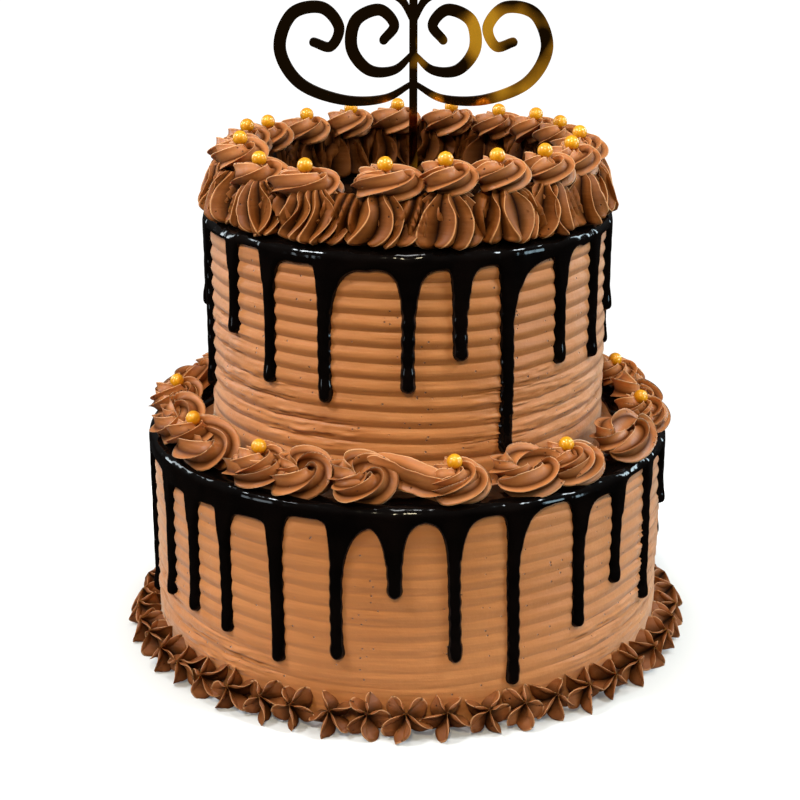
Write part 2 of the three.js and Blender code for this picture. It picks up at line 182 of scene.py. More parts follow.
# The lower rim's pieces: kind, the azimuths between which each lies, and its tip's azimuth
LOWER_BORDER_FOOT = 107.6
LOWER_BORDER_RADIUS = 116.0
LOWER_PIPING = [
    ("drop", -97.5, -84, -92), ("rose", -84, -65.5, -75), ("rose", -65.5, -45, -55.5),
    ("drop", -45, -31.5, -35.5), ("rose", -31.5, -17.7, -25), ("rose", -17.7, -3.8, -11),
    ("tail", -3.8, 6.5, 1.4), ("drop", 6.5, 17.3, 10), ("rose", 17.3, 34.5, 26), ("drop", 34.5, 48, 38),
    ("rose", 48, 70, 59.5), ("drop", 70, 85, 79), ("rose", 85, 102, 93.5), ("drop", 102, 116, 110.5),
]
BACK_PIECES = 9
BACK_DROP_SPAN = 12.5
ROSE_LEAN = 20.0
DROP_LEAN = 4.0
# The swirls, roses and drops: their nozzle's crests, how deep they coil, and their ropes' girths
ROPE_CRESTS = 5
SWIRL_DEPTH = 14.0
ROSE_DEPTH = 16.4
SWIRL_GIRTH = 7.1
ROSE_GIRTH = 7.4
DROP_GIRTH = 7.0
TAIL_GIRTH = 8.2
# The long ribbon's way in its own frame, from the rose on its left
TAIL_WAY = [(-25, 5, 8), (-18, 9, 11), (-8, 6.5, 10.5), (2, 0.5, 8.4), (10, -4, 6.6), (18, -5.5, 5)]
TAIL_ROWS = 50

# A star's, a ruffle's and a peak's shape from the tip down. Each station has its height, how far
# its crests and its valleys reach, and how far its flanks bulge.
STAR_STATIONS = [
    [0.3, 0.25, 0.2, 0], [-0.4, 2.8, 0.4, -0.06], [-1.2, 5.8, 0.65, -0.12], [-2.4, 8.6, 0.85, -0.12],
    [-4.0, 10.9, 1.1, -0.06], [-6.2, 11.8, 1.7, 0.1], [-8.6, 11.0, 2.4, 0.24], [-10.5, 8.0, 3.0, 0.25],
    [-11.4, 0.3, 0.25, 0],
]
RUFFLE_STATIONS = [
    [24.0, 7.0, 5.0, 0], [21.5, 10.0, 7.0, 0], [17.5, 12.2, 8.6, 0], [12.5, 14.2, 9.8, 0.02],
    [7.5, 15.5, 10.4, 0.06], [3.6, 16.0, 10.8, 0.16], [1.0, 14.6, 10.9, 0.32], [-0.2, 10.8, 9.4, 0.3],
    [-0.3, 0.3, 0.3, 0],
]
PEAK_STATIONS = [[0.9, 1.6, 1.0, 0], [0.2, 2.7, 2.0, 0], [-2.5, 3.9, 3.0, 0], [-6, 5.0, 3.6, 0.1]]
# The little swirls under the lower ring's pearls
SEAT_WIDTH = 23.0
SEAT_HEIGHT = 11.0
PEARL_RADIUS = 3.5

# Where the random draws of each kind of piped piece start
STAR_SEED = 300
RUFFLE_SEED = 500
SWIRL_SEED = 700
BORDER_SEED = 900
SEAT_SEED = 1200

# The topper: a mirrored sheet of scrollwork on a stick
SHEET = 3.0
STICK_WIDTH = 3.9
STICK_RISE = 92.0
TOPPER_X = 2.5
TOPPER_FOOT = 266.0
STROKE_THIN = 2.2
STROKE_THICK = 5.8
CURL_END_WIDTH = 4.2
SCROLLS = [
    [(0, 8), (14, 0.5), (34, 0), (54, 8), (63, 24), (57, 40), (43, 43), (35, 34), (39, 25), (47, 27)],
    [(0, 22), (9, 14), (21, 14), (29, 24), (27, 37), (16, 42), (9, 35), (14, 28)],
    [(0, 36), (6, 47), (18, 52), (32, 53), (43, 61), (42, 74), (31, 78), (24, 70), (30, 64)],
    [(0, 52), (9, 62), (12, 75), (7, 85), (0, 92)],
]


# Small helpers for shapes

def smooth_step(x, low=0.0, high=1.0):
    t = np.clip((x - low) / (high - low), 0, 1)
    return t * t * (3 - 2 * t)


def noise(u, v, cells_u, cells_v, seed):
    """Smooth uneven values from -1 to 1. u wraps round after 1, and v runs from 0 to 1."""
    lattice = np.random.default_rng(seed).uniform(-1, 1, (cells_u, cells_v + 2))
    x = (u % 1.0) * cells_u
    y = np.clip(v, 0, 1) * cells_v
    i = np.floor(x).astype(int)
    j = np.floor(y).astype(int)
    fx = smooth_step(x - i)
    fy = smooth_step(y - j)
    near, far = i % cells_u, (i + 1) % cells_u
    low = lattice[near, j] * (1 - fx) + lattice[far, j] * fx
    high = lattice[near, j + 1] * (1 - fx) + lattice[far, j + 1] * fx
    return low * (1 - fy) + high * fy


def spline(knots, count):
    """Points along a smooth curve through the knots"""
    knots = np.asarray(knots, float)
    around = np.vstack([2 * knots[0] - knots[1], knots, 2 * knots[-1] - knots[-2]])
    t = np.linspace(0, len(knots) - 1, count)
    i = np.minimum(t.astype(int), len(knots) - 2)
    f = (t - i)[:, None]
    a, b, c, d = around[i], around[i + 1], around[i + 2], around[i + 3]
    bend = (2 * a - 5 * b + 4 * c - d) * f + (3 * b - a - 3 * c + d) * f * f
    return b + 0.5 * f * ((c - a) + bend)


def on_ring(azimuth, radius, height):
    """World points, in mm, from azimuths in radians"""
    return np.stack([radius * np.sin(azimuth), -radius * np.cos(azimuth), height + 0 * azimuth], -1)


def grid_faces(rows, columns):
    """Quads over a grid of points whose last column meets its first"""
    i = np.arange(rows - 1)[:, None]
    j = np.arange(columns)[None, :]
    k = (j + 1) % columns
    corners = [i * columns + j, i * columns + k, (i + 1) * columns + k, (i + 1) * columns + j]
    return np.stack(corners, -1).reshape(-1, 4)


def new_object(name, data):
    """An object made from its data and put in the scene"""
    item = bpy.data.objects.new(name, data)
    bpy.context.scene.collection.objects.link(item)
    return item


def build_piece(name, nodes, material, patches):
    """One mesh from patches of (points, faces, rise), riding on the body in place of its nodes"""
    points, faces, rises, start = [], [], [], 0
    for patch_points, patch_faces, rise in patches:
        points.append(patch_points.reshape(-1, 3))
        faces.append(patch_faces + start)
        rises.append(np.broadcast_to(rise, patch_points.shape[:-1]).reshape(-1))
        start += len(points[-1])
    mesh = bpy.data.meshes.new(name)
    mesh.from_pydata((np.concatenate(points) * MM).tolist(), [], np.concatenate(faces).tolist())
    # The rise steers the materials: shade is painted where it is low and highlights where it is high
    attribute = mesh.attributes.new("rise", "FLOAT", "POINT")
    attribute.data.foreach_set("value", np.concatenate(rises).astype(np.float32))
    mesh.shade_smooth()
    mesh.validate()
    mesh.materials.append(material)
    piece = new_object(name, mesh)
    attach(piece, "root")
    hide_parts(*nodes)


# Procedural materials

class Nodes:
    """A short way to write the nodes of a material or of the world"""

    def __init__(self, owner):
        self.owner = owner
        owner.use_nodes = True
        self.tree = owner.node_tree
        self.tree.nodes.clear()
        self.place = self.add("ShaderNodeTexCoord")

    def add(self, kind, **values):
        node = self.tree.nodes.new(kind)
        for key, value in values.items():
            if hasattr(node, key):
                setattr(node, key, value)
            else:
                node.inputs[key.replace("_", " ")].default_value = value
        return node

    def join(self, source, output, target, entry):
        self.tree.links.new(source.outputs[output], target.inputs[entry])

    def noise(self, scale, detail=2.0, stretch=None):
        node = self.add("ShaderNodeTexNoise", Scale=scale, Detail=detail)
        if stretch:
            mapping = self.add("ShaderNodeMapping")
            mapping.inputs["Scale"].default_value = stretch
            self.join(self.place, "Object", mapping, "Vector")
            self.join(mapping, "Vector", node, "Vector")
        else:
            self.join(self.place, "Object", node, "Vector")
        return node

    def ramp(self, source, output, stops):
        """A colour for each [place, colour] stop; colours may be single greys"""
        node = self.add("ShaderNodeValToRGB")
        elements = node.color_ramp.elements
        while len(elements) < len(stops):
            elements.new(0.5)
        for element, (place, colour) in zip(elements, stops):
            element.position = place
            grey = isinstance(colour, (int, float))
            element.color = (colour, colour, colour, 1) if grey else (*colour, 1)
        self.join(source, output, node, "Fac")
        return node

    def mix(self, kind, share, first, second):
        """Mixes two colours, each a node's colour output or a fixed colour"""
        node = self.add("ShaderNodeMix", data_type="RGBA", blend_type=kind)
        for entry, value in ((0, share), (6, first), (7, second)):
            if isinstance(value, tuple) and isinstance(value[0], bpy.types.Node):
                self.tree.links.new(value[0].outputs[value[1]], node.inputs[entry])
            elif entry == 0:
                node.inputs[0].default_value = value
            else:
                node.inputs[entry].default_value = (*value, 1)
        return node

    def bump(self, source, output, distance, strength=1.0, before=None):
        node = self.add("ShaderNodeBump", Strength=strength, Distance=distance)
        self.join(source, output, node, "Height")
        if before:
            self.join(before, "Normal", node, "Normal")
        return node

    def pits(self, scale, size, share):
        """1 inside small scattered pits and 0 elsewhere"""
        cells = self.add("ShaderNodeTexVoronoi", Scale=scale)
        self.join(self.place, "Object", cells, "Vector")
        spots = self.ramp(cells, "Distance", [(size * 0.45, 1.0), (size, 0.0)])
        chosen = self.ramp(cells, "Color", [(share, 1.0), (share + 0.02, 0.0)])
        return self.mix("MULTIPLY", 1.0, (spots, "Color"), (chosen, "Color"))


def material_nodes(name, **values):
    """A new material's nodes, with its shader and the values of the shader's own sockets"""
    n = Nodes(bpy.data.materials.new(name))
    n.shader = n.add("ShaderNodeBsdfPrincipled", **values)
    n.join(n.shader, "BSDF", n.add("ShaderNodeOutputMaterial"), "Surface")
    return n


def cream_material(name, light, middle, dark, crest, crest_highlight_share, gloss_level, roughness, veil):
    """Buttercream: uneven colour, paler crests and darker hollows as painted highlights and shade, fine pits
    painted darker as shade, and any veil of sheen
    """
    n = material_nodes(
        name, Subsurface_Weight=0.12, Subsurface_Radius=(1.0, 0.4, 0.2), Subsurface_Scale=0.002)
    clouds = n.noise(22, 3)
    tone = n.ramp(clouds, "Fac", [(0.32, middle), (0.72, light)])
    streaks = n.noise(1, 2, (30, 30, 460))
    smears = n.ramp(streaks, "Fac", [(0.35, 0.78), (0.62, 1.0)])
    body = n.mix("MULTIPLY", 0.45, (tone, "Color"), (smears, "Color"))
    rise = n.add("ShaderNodeAttribute", attribute_name="rise")
    # Painted shade: the dark colour is laid into hollows and under ridges, wherever the rise is low
    hollow = n.ramp(rise, "Fac", [(0.0, 1.0), (0.6, 0.0)])
    shaded = n.mix("MIX", (hollow, "Color"), (body, 2), dark)
    # Painted highlight: the crest colour is laid onto the highest crests and flakes
    edge = n.ramp(rise, "Fac", [(0.9, 0.0), (1.0, crest_highlight_share)])
    crest_highlighted = n.mix("MIX", (edge, "Color"), (shaded, 2), crest)
    # Small pits, bumped in and painted darker as shade inside them
    pits = n.pits(scale=310, size=0.18, share=0.32)
    coloured = n.mix("MIX", (pits, 2), (crest_highlighted, 2), tuple(c * 0.3 for c in middle))
    n.join(coloured, 2, n.shader, "Base Color")
    soft = n.noise(150, 2)
    fine = n.noise(1100, 3)
    first = n.bump(streaks, "Fac", 0.0005, 0.6)
    second = n.bump(soft, "Fac", 0.0007, 0.45, first)
    third = n.bump(fine, "Fac", 0.0002, 0.35, second)
    last = n.bump(pits, 2, -0.0006, 0.8, third)
    n.join(last, "Normal", n.shader, "Normal")
    gloss = n.ramp(clouds, "Fac", [(0.3, roughness - 0.05), (0.7, roughness + 0.07)])
    n.join(gloss, "Color", n.shader, "Roughness")
    shine = n.ramp(rise, "Fac", [(0.1, 0.02), (0.7, gloss_level)])
    n.join(shine, "Color", n.shader, "Specular IOR Level")
    if veil:
        sheen = n.ramp(rise, "Fac", [(0.42, 0.35 * veil), (0.86, veil)])
        n.join(sheen, "Color", n.shader, "Sheen Weight")
        n.shader.inputs["Sheen Roughness"].default_value = 0.45
    return n.owner


def ganache_material():
    """Wet dark ganache: a faint brown depth under a smooth, slightly rippled gloss"""
    n = material_nodes("ganache_gloss", Roughness=0.1, Specular_IOR_Level=0.13)
    clouds = n.noise(60, 2)
    body = n.ramp(clouds, "Fac", [(0.3, (0.0012, 0.0008, 0.0007)), (0.75, (0.0032, 0.0018, 0.0014))])
    n.join(body, "Color", n.shader, "Base Color")
    ripple = n.noise(95, 1.5, (1, 1, 0.45))
    gentle = n.bump(ripple, "Fac", 0.0014, 0.7)
    n.join(gentle, "Normal", n.shader, "Normal")
    return n.owner


def pearl_material():
    """Gold sugar pearl: a warm lustre in two tones with a fine grain, under a clear coat"""
    n = material_nodes(
        "gold_sugar_pearl", Metallic=0.12, Roughness=0.36, Coat_Weight=0.3, Coat_Roughness=0.15)
    clouds = n.noise(420, 2)
    grain = n.noise(1500, 2)
    body = n.ramp(clouds, "Fac", [(0.3, (0.7, 0.26, 0.002)), (0.7, (0.87, 0.385, 0.004))])
    mottled = n.mix("MULTIPLY", 0.2, (body, "Color"), (grain, "Fac"))
    n.join(mottled, 2, n.shader, "Base Color")
    fine = n.bump(grain, "Fac", 0.00012, 0.4)
    n.join(fine, "Normal", n.shader, "Normal")
    return n.owner


def mirror_material():
    """Polished gold mirror sheet with faint waves, hazy patches, and amber patches painted in as reflections
    """
    n = material_nodes("gold_mirror_sheet")
    waves = n.noise(42, 1.5)
    axes = n.add("ShaderNodeSeparateXYZ")
    n.join(n.place, "Object", axes, "Vector")
    amber_reflection_band = n.add("ShaderNodeMath", operation="MULTIPLY_ADD")
    n.join(axes, "X", amber_reflection_band, 0)
    amber_reflection_band.inputs[1].default_value = 2.2
    n.join(waves, "Fac", amber_reflection_band, 2)
    # Amber patches, less metallic, painted across the sheet as reflections
    tone = n.ramp(amber_reflection_band, "Value", [
        (0.4, (0.4, 0.2, 0.05)), (0.62, (0.5, 0.2, 0.012)), (0.8, (0.72, 0.34, 0.02))])
    n.join(tone, "Color", n.shader, "Base Color")
    clear = n.ramp(amber_reflection_band, "Value", [(0.56, 1.0), (0.74, 0.45)])
    n.join(clear, "Color", n.shader, "Metallic")
    haze = n.ramp(waves, "Fac", [(0.35, 0.05), (0.7, 0.11)])
    n.join(haze, "Color", n.shader, "Roughness")
    swell = n.bump(waves, "Fac", 0.0008, 0.25)
    n.join(swell, "Normal", n.shader, "Normal")
    return n.owner


# Each cream's dark colour is painted shade in its hollows, and its crest colour a painted highlight on its
# crests
BUTTERCREAM = cream_material(
    "combed_buttercream", light=(0.51, 0.18, 0.042), middle=(0.445, 0.147, 0.03),
    dark=(0.2, 0.05, 0.008), crest=(0.56, 0.25, 0.1), crest_highlight_share=0.35,
    gloss_level=0.45, roughness=0.54, veil=0.42)
PIPING = cream_material(
    "piped_buttercream", light=(0.445, 0.157, 0.043), middle=(0.36, 0.117, 0.029),
    dark=(0.06, 0.0133, 0.002), crest=(0.68, 0.33, 0.145), crest_highlight_share=0.85,
    gloss_level=0.32, roughness=0.46, veil=0.05)
# The ruffles' cream is a darker, shaded copy of the piped cream, painting the shade under the swirls and in
# the well
SHADED_RUFFLE_PIPING = cream_material(
    "shaded_ruffle_buttercream", light=(0.26, 0.077, 0.0145), middle=(0.17, 0.047, 0.008),
    dark=(0.006, 0.0011, 0.0001), crest=(0.66, 0.3, 0.12), crest_highlight_share=0.95,
    gloss_level=0.12, roughness=0.5, veil=0)
# The stars' cream is darker: partly a darker cream, and partly painted shade low down by the floor
DARK_SHADED_STAR_PIPING = cream_material(
    "dark_shaded_star_buttercream", light=(0.22, 0.068, 0.017), middle=(0.14, 0.039, 0.009),
    dark=(0.003, 0.0006, 0.0001), crest=(0.5, 0.24, 0.105), crest_highlight_share=0.85,
    gloss_level=0.2, roughness=0.46, veil=0)
GANACHE = ganache_material()
PEARL = pearl_material()
MIRROR = mirror_material()


# Tiers

def comb_wander(tier, turn, height):
    """How far the bands stray down, in mm"""
    share = (height - tier["foot"]) / (tier["top"] - tier["foot"])
    seed = int(tier["radius"])
    ends = smooth_step(share, 0, 0.14) * smooth_step(1 - share, 0, 0.14)
    azimuths, drifts = zip(*tier["drift"])
    drift = np.interp(turn * 360, azimuths, drifts, period=360)
    return ends * (0.3 * noise(turn, share, 9, 4, seed) + 0.15 * noise(turn, share, 23, 9, seed + 1) - drift)


def comb_relief(tier, azimuth, height):
    """How far the combed side stands out from the tier's radius, in mm, which is below 0 where it
    is cut in, and its rise from 0 to 1 up its ridges, lowered under them and in the tears for painted
    shade and raised on the flakes for painted highlights"""
    turn = azimuth / TAU
    degrees = (np.degrees(azimuth) + 180) % 360 - 180
    share = (height - tier["foot"]) / (tier["top"] - tier["foot"])
    seed = int(tier["radius"])
    ridge = (height + comb_wander(tier, turn, height) - tier["band"]) / tier["pitch"] + VALLEY_BELOW_BAND
    combed = smooth_step(ridge, -0.7, -0.05) * smooth_step(tier["bands"] - ridge, 0.1, 0.9)
    up = ridge % 1.0
    strength = tier["depth"] * (1 + 0.2 * noise(turn, share, 9, 4, seed + 2))
    strength = strength * (1 - tier["smooth"] * np.exp(-((degrees + 2) / 30) ** 2))
    relief = -strength * np.abs(2 * up - 1) ** RIDGE_BEND * combed
    # How far a point lies on a ridge's underside, where shade is painted
    under = (1 - smooth_step(up, 0.28, 0.58)) * combed * np.minimum(strength / 1.2, 1)

    torn = 0 * ridge
    for place, middle, half_angle, half_height in TEARS:
        off = (degrees - place + 180) % 360 - 180
        torn = np.maximum(torn, np.exp(-(off / half_angle) ** 2 - ((height - middle) / half_height) ** 2))
    shreds = noise(turn, share, 46, 150, seed + 4) + 0.6 * noise(turn, share, 130, 210, seed + 5)
    flakes = smooth_step(-shreds, 0.4, 0.8) * smooth_step(torn, 0.1, 0.55)
    shreds = smooth_step(shreds, 0.32, 0.75) * smooth_step(torn, 0.1, 0.55)
    relief = relief - 0.5 * shreds + 0.75 * flakes
    uneven = 0.3 * noise(turn, share, 11, 6, seed + 6) + 0.08 * noise(turn, share, 60, 60, seed + 7)
    uneven = uneven + 0.12 * torn * noise(turn, share, 90, 120, seed + 8)
    # Painted shade under the ridges and in the torn slits, and painted highlights on the raised flakes
    rise = 0.86 - 0.45 * under - 0.3 * shreds + 0.11 * flakes
    return relief + uneven, np.clip(rise, 0, 0.97)


def tier_patch(tier):
    """A tier's whole skin: bottom, combed side, rounded rim and top. Rows follow the grooves."""
    azimuth = np.linspace(0, TAU, TIER_COLUMNS, endpoint=False)[None, :]
    turn = azimuth / TAU
    side_top = tier["top"] - RIM_ROUNDING
    first_valley = tier["band"] - VALLEY_BELOW_BAND * tier["pitch"]
    lowest = (tier["foot"] - first_valley) / tier["pitch"]
    highest = (side_top - first_valley) / tier["pitch"]
    pitches = range(math.floor(lowest), math.ceil(highest))
    phases = [k + row for k in pitches for row in ROWS_IN_PITCH]
    phases = [lowest, lowest + 0.04, lowest + 0.1] + [p for p in phases if lowest + 0.15 < p < highest - 0.03]
    level = first_valley + tier["pitch"] * np.array(phases + [highest])[:, None] + 0 * azimuth
    side = level
    for _ in range(6):
        side = level - comb_wander(tier, turn, side)
    relief, rise = comb_relief(tier, azimuth + 0 * side, side)
    spread = tier["flare"] * np.exp(-(side - tier["foot"]) / 1.6)
    rows = [on_ring(azimuth[0], CLOSING_RADIUS, tier["foot"] + 0 * azimuth[0])]
    rows += list(on_ring(azimuth + 0 * side, tier["radius"] + relief + spread, side))
    rises = [np.full(TIER_COLUMNS, TOP_RISE)] + list(rise)
    for angle in np.radians([18, 36, 54, 72, 90]):
        radius = tier["radius"] + relief[-1] - RIM_ROUNDING * (1 - math.cos(angle))
        rows.append(on_ring(azimuth[0], radius, side_top + RIM_ROUNDING * math.sin(angle)))
        rises.append(np.full(TIER_COLUMNS, RIM_RISE))
    for radius in np.arange(tier["radius"] - TIER_TOP_STEP, HIDDEN_TOP_RADIUS, -TIER_TOP_STEP):
        bumps = 0.25 * noise(turn[0], np.array(radius / 140), 40, 24, 5)
        rows.append(on_ring(azimuth[0], radius, tier["top"] + bumps))
        rises.append(np.full(TIER_COLUMNS, TOP_RISE))
    rows.append(on_ring(azimuth[0], CLOSING_RADIUS, tier["top"] + 0 * azimuth[0]))
    rises.append(np.full(TIER_COLUMNS, TOP_RISE))
    points = np.array(rows)
    return points, grid_faces(len(rows), TIER_COLUMNS), np.array(rises)


# Ganache

def all_drips(front, back):
    """The measured drips, and the back ones spaced evenly between the last and the first"""
    last, first = front[-1][0], front[0][0] + 360
    step = (first - last) / (back["count"] + 1)
    rest = []
    for i in range(1, back["count"] + 1):
        share = (i * GOLDEN_SHARE) % 1
        length = back["shortest"] + (back["longest"] - back["shortest"]) * share
        webs = (1.5 + 4 * ((i * 0.37) % 1), 1.5 + 5 * ((i * 0.71) % 1))
        rest.append((last + i * step, length, *webs, back["skirt"] + 2.5 * ((i * 0.53) % 1)))
    return front + rest


def skirt_levels(azimuth, drips):
    """How far the skirt runs down at each azimuth: level across each gap, and eased at the drips"""
    places, levels = [], []
    for i, drip in enumerate(drips):
        gap = (drips[(i + 1) % len(drips)][0] - drip[0]) % 360
        places += [drip[0] + 0.25 * gap, drip[0] + 0.75 * gap]
        levels += [drip[4], drip[4]]
    return np.interp(np.degrees(azimuth), places, levels, period=360)


def soft_max(a, b, size):
    """The larger of two values, rounded off where they are alike"""
    h = np.maximum(size - np.abs(a - b), 0) / size
    return np.maximum(a, b) + h * h * size / 4


def ganache_outline(azimuth, down, mean, drips, seed):
    """How far inside the ganache's outline each point is, and how thick the ganache is, in mm"""
    turn = azimuth[None, :] / TAU
    skirts = skirt_levels(azimuth, drips)[None, :]
    level = skirts + 0.8 * noise(turn, 0 * turn, 40, 1, seed) + 0.4 * noise(turn, 0 * turn, 130, 1, seed + 1)
    arms = np.full((len(down), len(azimuth)), -50.0)
    thick = np.full(arms.shape, SKIN * 0.85)
    for i, (place, length, left, right, _) in enumerate(drips):
        rng = np.random.default_rng(seed + 10 + i)
        half = DRIP_HALF_WIDTH * rng.uniform(0.92, 1.12)
        off = np.degrees(((azimuth - math.radians(place) + math.pi) % TAU) - math.pi)
        across = np.radians(off)[None, :] * mean
        near = np.abs(across) < 30
        sway = 0.5 * np.sin(down / 17 + rng.uniform(0, TAU)) * smooth_step(down, 10, 40)
        across = across - sway
        beyond = np.abs(across) - half
        reach = np.where(across < 0, left, right)
        drop = 12 + 1.2 * reach
        web = drop * np.exp(-np.maximum(beyond, 0) / (0.55 * reach))
        level = np.where(near, np.maximum(level, skirts + web), level)
        end = length - DRIP_END_RADIUS
        waist = half * (1 - 0.06 * smooth_step(down, 20, end - 10)) + 0.16 * np.sin(down / 1.19 + i)
        bulb = (DRIP_END_RADIUS - half) * smooth_step(down, end - 9, end)
        inside = waist + bulb - np.hypot(across, np.maximum(down - end, 0))
        arms = np.where(near, np.maximum(arms, inside), arms)
        swell = (1.0 * smooth_step(down, end - 10, end) + 0.15) * np.exp(-(across / 3.4) ** 2)
        thick = np.where(near, thick + swell * smooth_step(inside, -1, 1), thick)
    slope = np.gradient(level, mean * TAU / len(azimuth), axis=1)
    skirt = (level - down) / np.sqrt(1 + np.minimum(slope ** 2, 9))
    return soft_max(skirt, arms, 2.2), thick


def ganache_cover(azimuth, tier, side_radius, inner_edge, seed):
    """Rows of the ganache's top and shoulder, from its middle or inner edge out to its side"""
    turn = azimuth / TAU
    top = tier["top"] + SKIN
    rows = []
    for angle in np.radians([12, 24, 36, 48, 60, 72, 84]):
        wave = 0.22 * noise(turn, 0 * turn, 90, 1, seed + 5) * math.sin(2 * angle)
        radius = side_radius + wave - SHOULDER * (1 - math.cos(angle))
        rows.append(on_ring(azimuth, radius, top + wave - SHOULDER + SHOULDER * math.sin(angle)))
    for radius in np.arange(tier["radius"] - SHOULDER, inner_edge + 2, -GANACHE_TOP_STEP):
        swirl = 0.35 * noise(turn, np.array(radius / 140), 26, 20, seed + 3)
        rows.append(on_ring(azimuth, radius, top + swirl))
    if inner_edge:
        wave = inner_edge + 1.6 * noise(turn, 0 * turn, 34, 1, seed + 4)
        for offset, sink in ((1.0, 0.35), (0.2, 1.2), (0.0, SKIN + 0.6)):
            rows.append(on_ring(azimuth, wave + offset, top - sink))
    return np.array(rows)[::-1]


def ganache_patch(tier, drips, inner_edge):
    """Poured ganache: an outer surface that sinks into the buttercream wherever no ganache runs"""
    mean = tier["radius"] + 0.4
    seed = int(mean) + 40
    columns = int(round(TAU * mean / GANACHE_COLUMN_STEP))
    azimuth = np.linspace(0, TAU, columns, endpoint=False)
    longest = max(drip[1] for drip in drips) + 3
    down = np.arange(SHOULDER, longest, GANACHE_ROW_STEP)[:, None]
    around = azimuth[None, :] + 0 * down
    height = tier["top"] + SKIN - down + 0 * around
    inside, thick = ganache_outline(azimuth, down, mean, drips, seed)

    # The side's thickness from that, over the combed side underneath
    relief, _ = comb_relief(tier, around, height)
    rounding = np.sqrt(1 - (1 - np.clip(inside / EDGE_ROUNDING, 0, 1)) ** 2)
    body = np.where(inside > 0, thick * rounding, 2.5 * inside)
    level_share = 0.9 * smooth_step(rounding, 0.2, 0.9)
    ripple = 0.12 * noise(around / TAU, down / longest, 90, 14, seed + 2) * smooth_step(inside, 0, 2)
    radius = tier["radius"] + relief * (1 - level_share) + np.maximum(body, -1.6) + ripple
    cover = ganache_cover(azimuth, tier, radius[0], inner_edge, seed)
    points = np.concatenate([cover, on_ring(around, radius, height)])

    # Only faces with a corner in the ganache are kept
    keep = np.concatenate([np.ones(cover.shape[:2], bool), inside > -0.9])
    faces = grid_faces(len(points), columns)
    faces = faces[keep.reshape(-1)[faces].any(axis=1)]
    used, faces = np.unique(faces, return_inverse=True)
    return points.reshape(-1, 3)[used], faces.reshape(-1, 4)[:, ::-1], 0.5


# Piped shapes

def lobe_columns(count, rng, uneven, steep, gentle):
    """Places round a lobed section: where lobes start, and each column's lobe, climb and side"""
    spread = rng.uniform(1 - uneven, 1 + uneven, count)
    starts = np.concatenate([[0], np.cumsum(spread)]) / spread.sum() * TAU
    gentle_climb = 1 - (1 - np.arange(gentle) / gentle) ** 1.5
    steep_climb = 1 - (np.arange(steep) / steep) ** 1.3
    climb = np.tile(np.concatenate([gentle_climb, steep_climb]), count)
    side = np.tile(np.concatenate([np.full(gentle, -1), np.full(steep, 1)]), count)
    lobe = np.repeat(np.arange(count), gentle + steep)
    return starts, lobe, climb, side


def lobed_section(columns, crest_angle, valley_angle, crest, valley, fullness):
    """Points of a lobed section. Crest arrays are rows by lobes, and valleys have one more."""
    _, lobe, climb, side = columns
    foot = np.where(side < 0, lobe, lobe + 1)
    low = valley_angle[:, foot]
    high = crest_angle[:, lobe]
    foot_x, foot_y = valley * np.cos(low), valley * np.sin(low)
    edge = crest[:, lobe]
    edge_x, edge_y = edge * np.cos(high), edge * np.sin(high)
    along_x, along_y = edge_x - foot_x, edge_y - foot_y
    swell = 4 * climb * (1 - climb) * fullness * -side
    x = foot_x + along_x * climb + along_y * swell
    y = foot_y + along_y * climb - along_x * swell
    return x, y


def piped_drop(rng, stations, count, rows, twist, wave, lean, lift, uneven, first=None):
    """An upright fluted drop through its stations, in its own frame. Twist turns all its crests, wave
    and lean move each by itself, lift raises their tops, and uneven varies their widths."""
    path = spline(stations, rows)
    height, crest, valley, fullness = (path[:, i:i + 1] for i in range(4))
    crest = np.maximum(crest, 0.15)
    valley = np.clip(valley, 0.1, crest)
    columns = lobe_columns(count, rng, uneven, steep=4, gentle=6)
    starts, lobe, climb, _ = columns
    t = np.linspace(0, 1, rows)[:, None]
    leans = lean * rng.uniform(-1, 1, count) * smooth_step(t, 0.05, 0.3)
    middle = starts[:-1] + np.diff(starts) * (0.5 + leans)
    waves = wave * rng.uniform(0.5, 1.2, count) * rng.choice([-1, 1], count)
    phase = rng.uniform(0.6, 1.1) + 0.15 * rng.uniform(-1, 1, count)
    sway = waves * np.sin(TAU * t * phase) * smooth_step(t, 0.0, 0.3)
    common = twist * np.sin(math.pi * 0.75 * t)
    neighbours = np.concatenate([sway[:, -1:], sway, sway[:, :1]], axis=1)
    between = (neighbours[:, 1:] + neighbours[:, :-1]) / 2
    turn = rng.uniform(0, TAU) if first is None else first - starts[1] / 2
    reach = rng.uniform(0.9, 1.06, count) * (1 + 0.02 * np.sin(9 * t + rng.uniform(0, TAU, count)))
    x, y = lobed_section(
        columns, middle + sway + common + turn, starts + 0.6 * between + common + turn,
        crest * reach, valley, fullness)
    ragged = 1 + 0.018 * noise(lobe[None, :] / count, t, count, 14, rng.integers(1 << 30)) * climb ** 4
    lifts = lift * (rng.uniform(0, 1, count)[lobe] + 1.2 * (1 - climb))
    height = height + lifts * smooth_step(t, 0.35, 0.95)
    points = np.stack([x * ragged, y * ragged, height + 0 * x], -1)
    return points, grid_faces(rows, points.shape[1])[:, ::-1], climb + 0 * x


